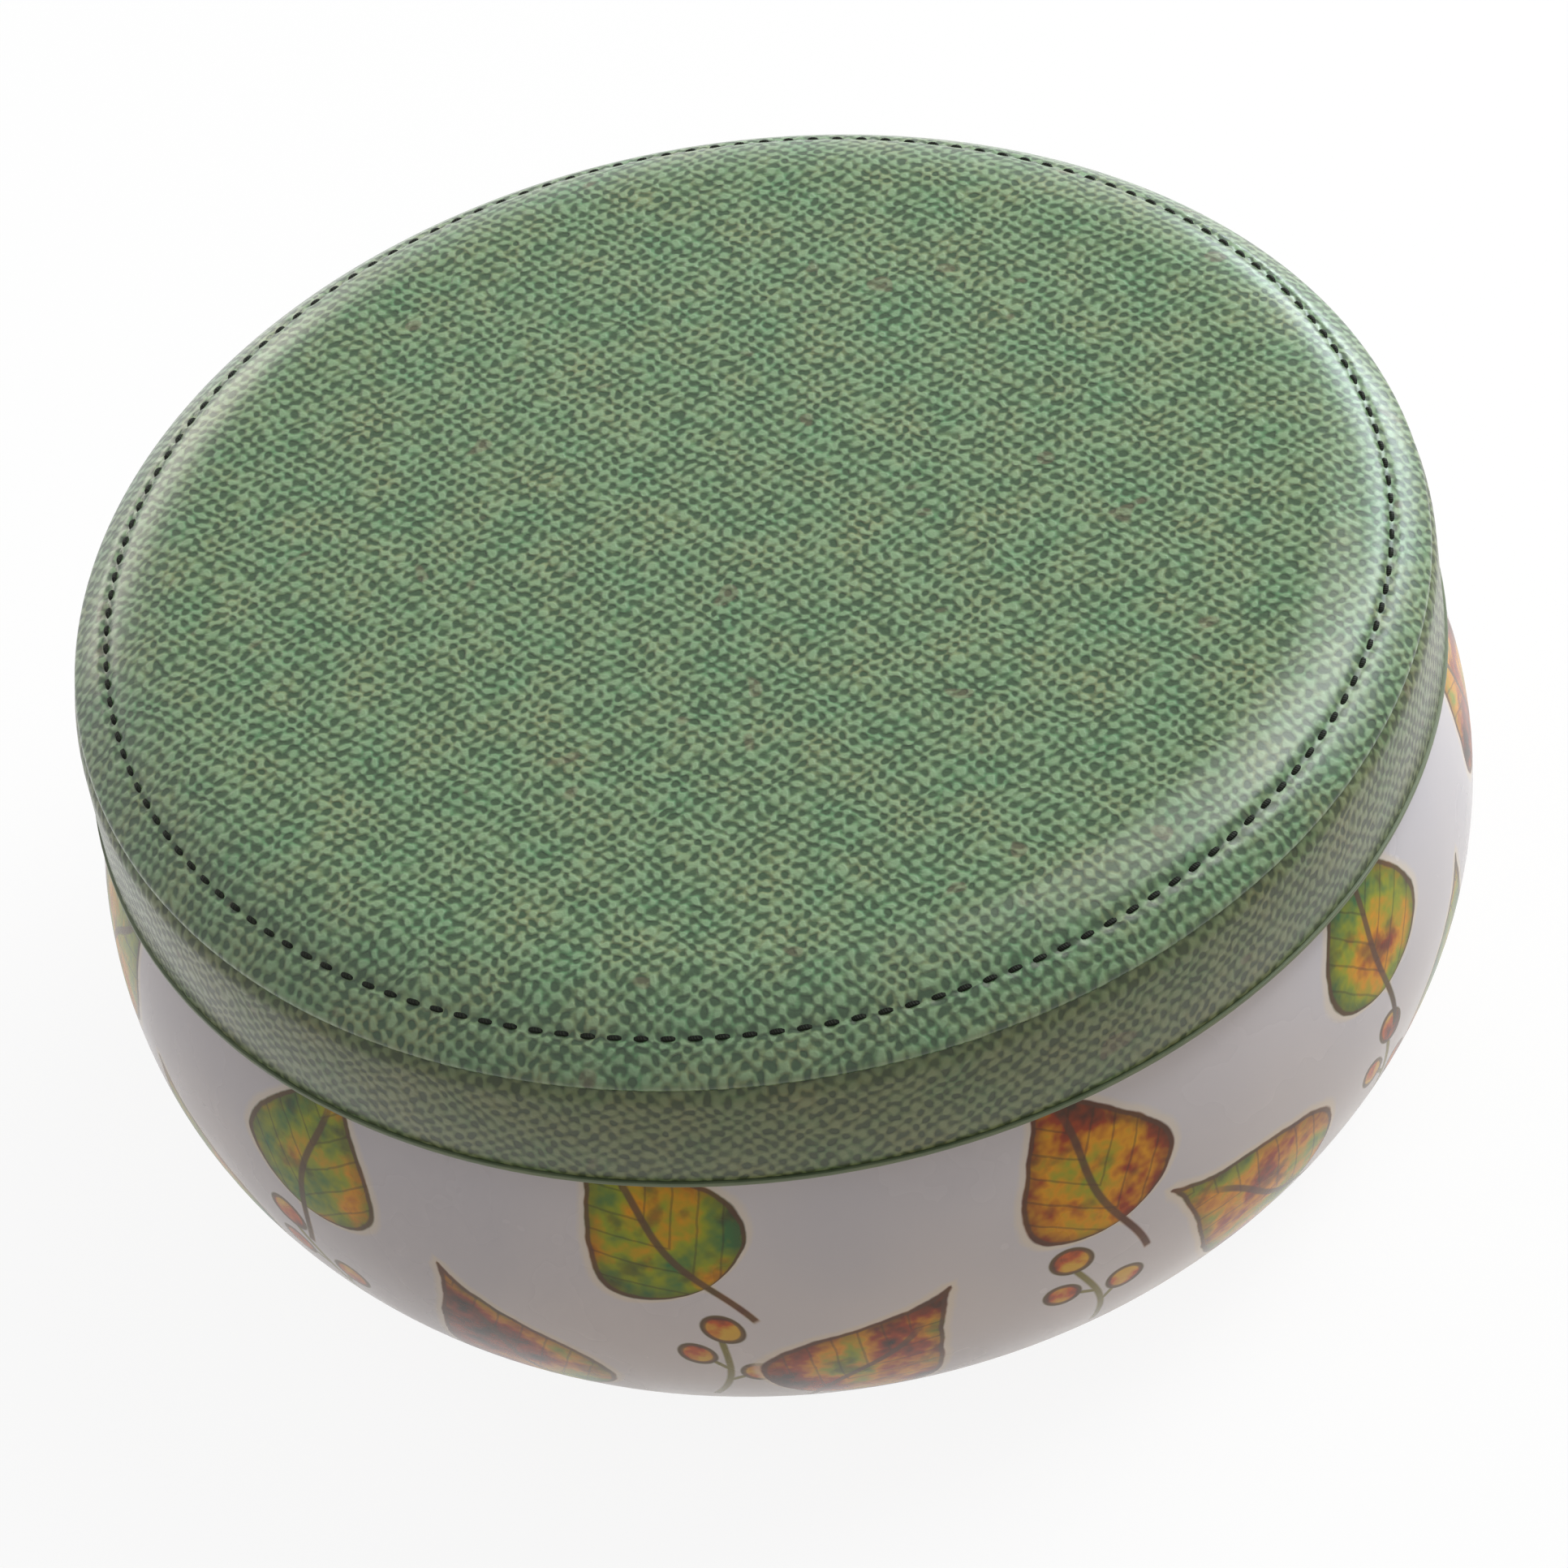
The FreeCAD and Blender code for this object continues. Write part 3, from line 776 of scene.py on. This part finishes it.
def lacquerFinish():
    material, tree, shader, place = startMaterial("printedLacquer", Specular_IOR_Level=lacquer["specular"])
    turn, height = roundCoordinates(tree, place)
    # height along the curved wall, from the widest place
    arch = (lowerRadius + upperRadius) / 2
    rise = calc(tree, "DIVIDE", calc(tree, "SUBTRACT", height, bellyHeight), arch)
    up = product(tree, calc(tree, "ARCSINE", rise), arch)
    row = makeRowGroup()
    leaf = makeLeafGroup()
    sprig = makeSprigGroup()
    cloud = noise(tree, place, lacquer["cloudScale"])["Fac"]
    white = mixColour(tree, remap(tree, cloud, *lacquer["cloud"]), lacquer["white"], lacquer["shade"])
    # painted reflection and painted shade: the lacquer turns a darker warm tan towards the foot, standing in
    # for a warm surface reflected there
    colour = mixColour(tree, remap(tree, height, *lacquer["paintedReflectionFade"]), white, lacquer["paintedWarmReflection"])
    shifted = calc(tree, "ADD", turn, math.pi / printRows["leaves"][0]["count"])
    for sizes in printRows["sprigs"]:
        cell = placeGroup(tree, row, Turn=shifted, Up=up, Count=sizes["count"], Height=sizes["height"],
                          Lean=sizes["lean"], Seed=sizes["seed"])
        paint = placeGroup(tree, sprig, Across=cell["Across"], Along=cell["Along"], Seed=cell["Chance"])
        colour = mixColour(tree, paint["Cover"], colour, paint["Colour"])
    for index, sizes in enumerate(printRows["leaves"]):
        cell = placeGroup(tree, row, Turn=turn if index == 0 else shifted, Up=up, Count=sizes["count"],
                          Height=sizes["height"], Lean=sizes["lean"], Seed=sizes["seed"])
        # the leaf's middle in its cell's middle
        along = calc(tree, "ADD", cell["Along"], sizes["length"] / 2)
        paint = placeGroup(tree, leaf, Across=cell["Across"], Along=along, Length=sizes["length"],
                           Width=sizes["width"], Seed=cell["Chance"])
        colour = mixColour(tree, product(tree, paint["Halo"], lacquer["haloShare"]), colour, lacquer["halo"])
        colour = mixColour(tree, paint["Cover"], colour, paint["Colour"])
    # the print stops short of the side seam at the back
    behind = calc(tree, "SUBTRACT", math.pi, calc(tree, "ABSOLUTE", turn))
    colour = mixColour(tree, remap(tree, behind, *lacquer["seamTurn"]), colour, lacquer["seam"])
    colour = mixColour(tree, remap(tree, behind, *lacquer["jointTurn"]), colour, lacquer["joint"])
    feed(tree, shader.inputs["Base Color"], colour)
    smear = noise(tree, place, lacquer["smearScale"], detail=3.0)["Fac"]
    feed(tree, shader.inputs["Roughness"], remap(tree, smear, *lacquer["roughness"]))
    addBump(tree, shader, noise(tree, place, lacquer["peelScale"])["Fac"], *lacquer["peel"])
    return material


# Plain finishes

def colourBy(tree, shader, pattern, look):
    colour = mixColour(tree, remap(tree, pattern, *look["mix"]), *look["colours"])
    feed(tree, shader.inputs["Base Color"], colour)


def roughenBy(tree, shader, pattern, look):
    feed(tree, shader.inputs["Roughness"], remap(tree, pattern, *look["roughness"]))


tinLook = {
    "lineScale": 9.0, "cloudScale": 0.12,
    "mix": (0.3, 0.7), "colours": (srgb(214, 213, 208), srgb(198, 196, 190)),
    "lineRoughness": (0.3, 0.7, 0.24, 0.36), "cloudRoughness": (0.4, 0.7, 0.0, 0.06), "bump": (0.004, 0.4),
}


def tinFinish():
    material, tree, shader, place = startMaterial("brightTin", Metallic=1.0)
    x, y, z = split(tree, place)
    radius = calcVector(tree, "LENGTH", joined(tree, x, y))
    # rolling lines run round the tin, close together across it
    lines = noise(tree, joined(tree, radius, z), tinLook["lineScale"], detail=3.0)["Fac"]
    cloud = noise(tree, place, tinLook["cloudScale"], detail=3.0)["Fac"]
    colourBy(tree, shader, cloud, tinLook)
    rough = remap(tree, lines, *tinLook["lineRoughness"])
    rough = calc(tree, "ADD", rough, remap(tree, cloud, *tinLook["cloudRoughness"]))
    feed(tree, shader.inputs["Roughness"], rough)
    addBump(tree, shader, lines, *tinLook["bump"])
    return material


enamelLook = {
    "cloudScale": 0.4, "mix": (0.35, 0.65), "colours": (srgb(96, 110, 80), srgb(108, 120, 90)),
    "roughness": (0.3, 0.7, 0.35, 0.5),
}


def enamelFinish():
    material, tree, shader, place = startMaterial("greenEnamel", IOR=1.5)
    cloud = noise(tree, place, enamelLook["cloudScale"], detail=3.0)["Fac"]
    colourBy(tree, shader, cloud, enamelLook)
    roughenBy(tree, shader, cloud, enamelLook)
    return material


threadLook = {
    "twistAlong": 38.0, "twistUp": 30.0, "mix": (-0.6, 0.8), "colours": (srgb(10, 13, 8), srgb(26, 31, 19)),
    "roughness": (-1.0, 1.0, 0.75, 0.55), "bump": (0.02, 0.6),
}


def threadFinish():
    material, tree, shader, place = startMaterial("stitchThread", Specular_IOR_Level=0.2)
    turn, height = roundCoordinates(tree, place)
    along = product(tree, turn, stitchRadius * threadLook["twistAlong"])
    twist = calc(tree, "SINE", calc(tree, "ADD", along, product(tree, height, threadLook["twistUp"])))
    colourBy(tree, shader, twist, threadLook)
    roughenBy(tree, shader, twist, threadLook)
    addBump(tree, shader, twist, *threadLook["bump"])
    return material


waddingLook = {
    "fibreScale": 2.2, "mix": (0.35, 0.7), "colours": (srgb(236, 234, 226), srgb(214, 210, 198)),
    "roughness": (0.3, 0.7, 0.8, 0.95), "bump": (0.15, 0.7),
}


def waddingFinish():
    material, tree, shader, place = startMaterial("feltedWadding", Sheen_Weight=0.3)
    fibres = noise(tree, place, waddingLook["fibreScale"], detail=4.0, roughness=0.65)["Fac"]
    colourBy(tree, shader, fibres, waddingLook)
    roughenBy(tree, shader, fibres, waddingLook)
    addBump(tree, shader, fibres, *waddingLook["bump"])
    return material


def panelPlace(tree, place):
    # lays the crown out flat, so that the grain keeps its size down the shoulder
    x, y, _ = split(tree, place)
    level = joined(tree, x, y)
    radius = calcVector(tree, "LENGTH", level)
    sine = calc(tree, "DIVIDE", calc(tree, "SUBTRACT", radius, shoulderCentre[0]), lid["shoulderRadius"])
    sine = calc(tree, "MINIMUM", calc(tree, "MAXIMUM", sine, 0.0), 1.0)
    beyond = calc(tree, "SUBTRACT", calc(tree, "ARCSINE", sine), sine)
    longer = calc(tree, "ADD", radius, product(tree, beyond, lid["shoulderRadius"]))
    return scaled(tree, level, calc(tree, "DIVIDE", longer, calc(tree, "MAXIMUM", radius, 0.1)))


def bandPlace(tree, place):
    turn, height = roundCoordinates(tree, place)
    return joined(tree, product(tree, turn, bandRadius), height)


# polish: radii that the coat grows between, and its weight at each
panelColours = {
    "patches": (srgb(88, 130, 86), srgb(106, 134, 91), srgb(124, 136, 91)),
    # ridge and pit colours: the grain's tone with painted light on the ridges and painted shade in the pits
    "ridge": srgb(144, 172, 133), "pitPaintedShade": srgb(51, 78, 47), "speck": srgb(112, 94, 72),
    "bump": 0.16, "polish": (33.0, 39.0, 0.7, 1.0),
}
bandColours = {
    "patches": (srgb(88, 114, 72), srgb(101, 116, 74), srgb(115, 119, 78)),
    # ridge and pit colours: the grain's tone with painted light on the ridges and painted shade in the pits
    "ridge": srgb(132, 146, 106), "pitPaintedShade": srgb(60, 72, 42), "speck": srgb(112, 94, 74),
    "bump": 0.13, "polish": (33.0, 39.0, 0.7, 0.7),
}

panelLeatherette = leatheretteFinish("panelLeatherette", panelPlace, panelColours)
bandLeatherette = leatheretteFinish("bandLeatherette", bandPlace, bandColours)
printedLacquer = lacquerFinish()
brightTin = tinFinish()
greenEnamel = enamelFinish()
stitchThread = threadFinish()
feltedWadding = waddingFinish()
print("finishes made")


# Pieces: maker, finishes with the outer face first, carrying body and CAD node

def buildPiece(maker, finishes, body, node):
    piece = maker()
    if not piece.data.materials:
        piece.data.materials.append(None)
    for index in range(len(piece.data.materials)):
        piece.data.materials[index] = finishes[min(index, len(finishes) - 1)]
    clearSelection()
    piece.select_set(True)
    bpy.context.view_layer.objects.active = piece
    bpy.ops.object.shade_smooth_by_angle(angle=math.radians(smoothAngle))
    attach(piece, body)
    if node:
        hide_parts(node)
    print("piece made:", piece.name, len(piece.data.polygons), "faces")
    return piece


buildPiece(makeBodyWall, [printedLacquer, brightTin], "tin_body", "body_wall")
buildPiece(makeSideSeam, [brightTin], "tin_body", None)
buildPiece(makeBasePlate, [brightTin], "tin_body", "base_plate")
buildPiece(makeLidShell, [greenEnamel, brightTin], "lid", "lid_shell")
lidPad = buildPiece(makeLidPad, [feltedWadding], "lid", "lid_pad")
topPanel = buildPiece(makeTopPanel, [panelLeatherette], "lid", "lid_top_panel")
sideBand = buildPiece(makeSideBand, [bandLeatherette], "lid", "lid_side_band")
buildPiece(makeTopstitch, [stitchThread], "lid", "topstitch")

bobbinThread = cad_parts["bobbin_thread"]
bobbinThread.data.materials.clear()
bobbinThread.data.materials.append(stitchThread)


# Studio: pale floor, soft lamps and the camera at the photo's angle

studio = {
    "floorRadius": 1.6, "floorSides": 96, "floorGlow": (0.15, 0.7, 0.9, 1.0),
    "floorColour": srgb(250, 249, 247), "bounceColour": srgb(236, 218, 196),
    "skyColour": srgb(240, 242, 246), "sky": (-0.7, 0.9, 0.20, 0.55), "skyAim": (0.1, 0.7, 0.7),
}
lamps = {
    "window": {"place": (0.57, 0.65, 0.24), "size": (0.32, 0.74), "roll": 44, "watts": 3.65,
               "colour": (0.84, 0.94, 1.0)},
    "softbox": {"place": (0.54, 0.22, 0.56), "size": (0.40, 0.45), "roll": 0, "watts": 2.0,
                "colour": (0.90, 0.97, 1.0)},
    "wall": {"place": (-0.40, 0.76, 0.18), "size": (0.45, 0.30), "roll": 0, "watts": 1.1,
             "colour": (1.0, 0.93, 0.84)},
    "overhead": {"place": (0.37, 0.28, 0.70), "size": (0.5, 0.5), "roll": 0, "watts": 2.3,
                 "colour": (1.0, 0.97, 0.92)},
}
viewpoint = {
    "aim": (0, 0, lowest("lid_shell") * mm), "distance": 0.49957, "elevation": 43.585,
    "pan": 0.006, "tilt": -0.751, "roll": 10.468, "lens": 186.335, "sensor": 36,
}


def shownDirectly(tree):  # camera, mirror and see-through rays
    path = addNode(tree, "ShaderNodeLightPath").outputs
    either = calc(tree, "MAXIMUM", path["Is Camera Ray"], path["Is Glossy Ray"])
    return calc(tree, "MAXIMUM", either, path["Is Transmission Ray"])


def makeFloor():
    clearSelection()
    bpy.ops.mesh.primitive_circle_add(vertices=studio["floorSides"], radius=studio["floorRadius"],
                                      fill_type="NGON")
    floor = bpy.context.object
    floor.name = floor.data.name = "floor"
    material = bpy.data.materials.new("paleFloor")
    material.use_nodes = True
    tree = material.node_tree
    tree.nodes.clear()
    direct = shownDirectly(tree)
    diffuse = addNode(tree, "ShaderNodeBsdfDiffuse")
    colour = mixColour(tree, direct, studio["bounceColour"], studio["floorColour"])
    feed(tree, diffuse.inputs["Color"], colour)
    glow = addNode(tree, "ShaderNodeEmission")
    away = calcVector(tree, "LENGTH", addNode(tree, "ShaderNodeTexCoord").outputs["Object"])
    share = remap(tree, away, *studio["floorGlow"])
    mix = addNode(tree, "ShaderNodeMixShader")
    feed(tree, mix.inputs[0], product(tree, share, direct))
    feed(tree, mix.inputs[1], diffuse.outputs[0])
    feed(tree, mix.inputs[2], glow.outputs[0])
    feed(tree, addNode(tree, "ShaderNodeOutputMaterial").inputs["Surface"], mix.outputs[0])
    floor.data.materials.append(material)


def makeSky():
    world = bpy.data.worlds.new("softSky")
    bpy.context.scene.world = world
    world.use_nodes = True
    tree = world.node_tree
    tree.nodes.clear()
    sky = addNode(tree, "ShaderNodeBackground")
    sky.inputs["Color"].default_value = studio["skyColour"]
    ray = addNode(tree, "ShaderNodeTexCoord").outputs["Generated"]
    facing = calcVector(tree, "DOT_PRODUCT", ray, studio["skyAim"])
    feed(tree, sky.inputs["Strength"], remap(tree, facing, *studio["sky"]))
    white = addNode(tree, "ShaderNodeBackground")
    white.inputs["Color"].default_value = (1, 1, 1, 1)
    mix = addNode(tree, "ShaderNodeMixShader")
    feed(tree, mix.inputs[0], shownDirectly(tree))
    feed(tree, mix.inputs[1], sky.outputs[0])
    feed(tree, mix.inputs[2], white.outputs[0])
    feed(tree, addNode(tree, "ShaderNodeOutputWorld").inputs["Surface"], mix.outputs[0])


def makeLamps():
    middle = Vector((0, 0, highest("lid_top_panel") * mm))
    for name, settings in lamps.items():
        light = bpy.data.lights.new(name, "AREA")
        light.shape = "RECTANGLE"
        light.size, light.size_y = settings["size"]
        light.energy = settings["watts"]
        light.color = settings["colour"]
        lamp = bpy.data.objects.new(name, light)
        bpy.context.scene.collection.objects.link(lamp)
        lamp.location = settings["place"]
        aim = (middle - lamp.location).to_track_quat("-Z", "Y")
        lamp.rotation_euler = (aim @ Quaternion((0, 0, 1), math.radians(settings["roll"]))).to_euler()


def makeCamera():
    camera = bpy.data.objects.new("camera", bpy.data.cameras.new("camera"))
    bpy.context.scene.collection.objects.link(camera)
    camera.data.sensor_width = viewpoint["sensor"]
    camera.data.lens = viewpoint["lens"]
    rise = math.radians(viewpoint["elevation"])
    back = Vector((0, -math.cos(rise), math.sin(rise)))
    camera.location = Vector(viewpoint["aim"]) + back * viewpoint["distance"]
    look = (-back).to_track_quat("-Z", "Y")
    for axis, name in (((0, 1, 0), "pan"), ((1, 0, 0), "tilt"), ((0, 0, -1), "roll")):
        look = look @ Quaternion(axis, math.radians(viewpoint[name]))
    camera.rotation_euler = look.to_euler()
    bpy.context.scene.camera = camera


makeFloor()
makeSky()
makeLamps()
makeCamera()
bpy.context.scene.view_settings.view_transform = "Standard"
print("studio set")
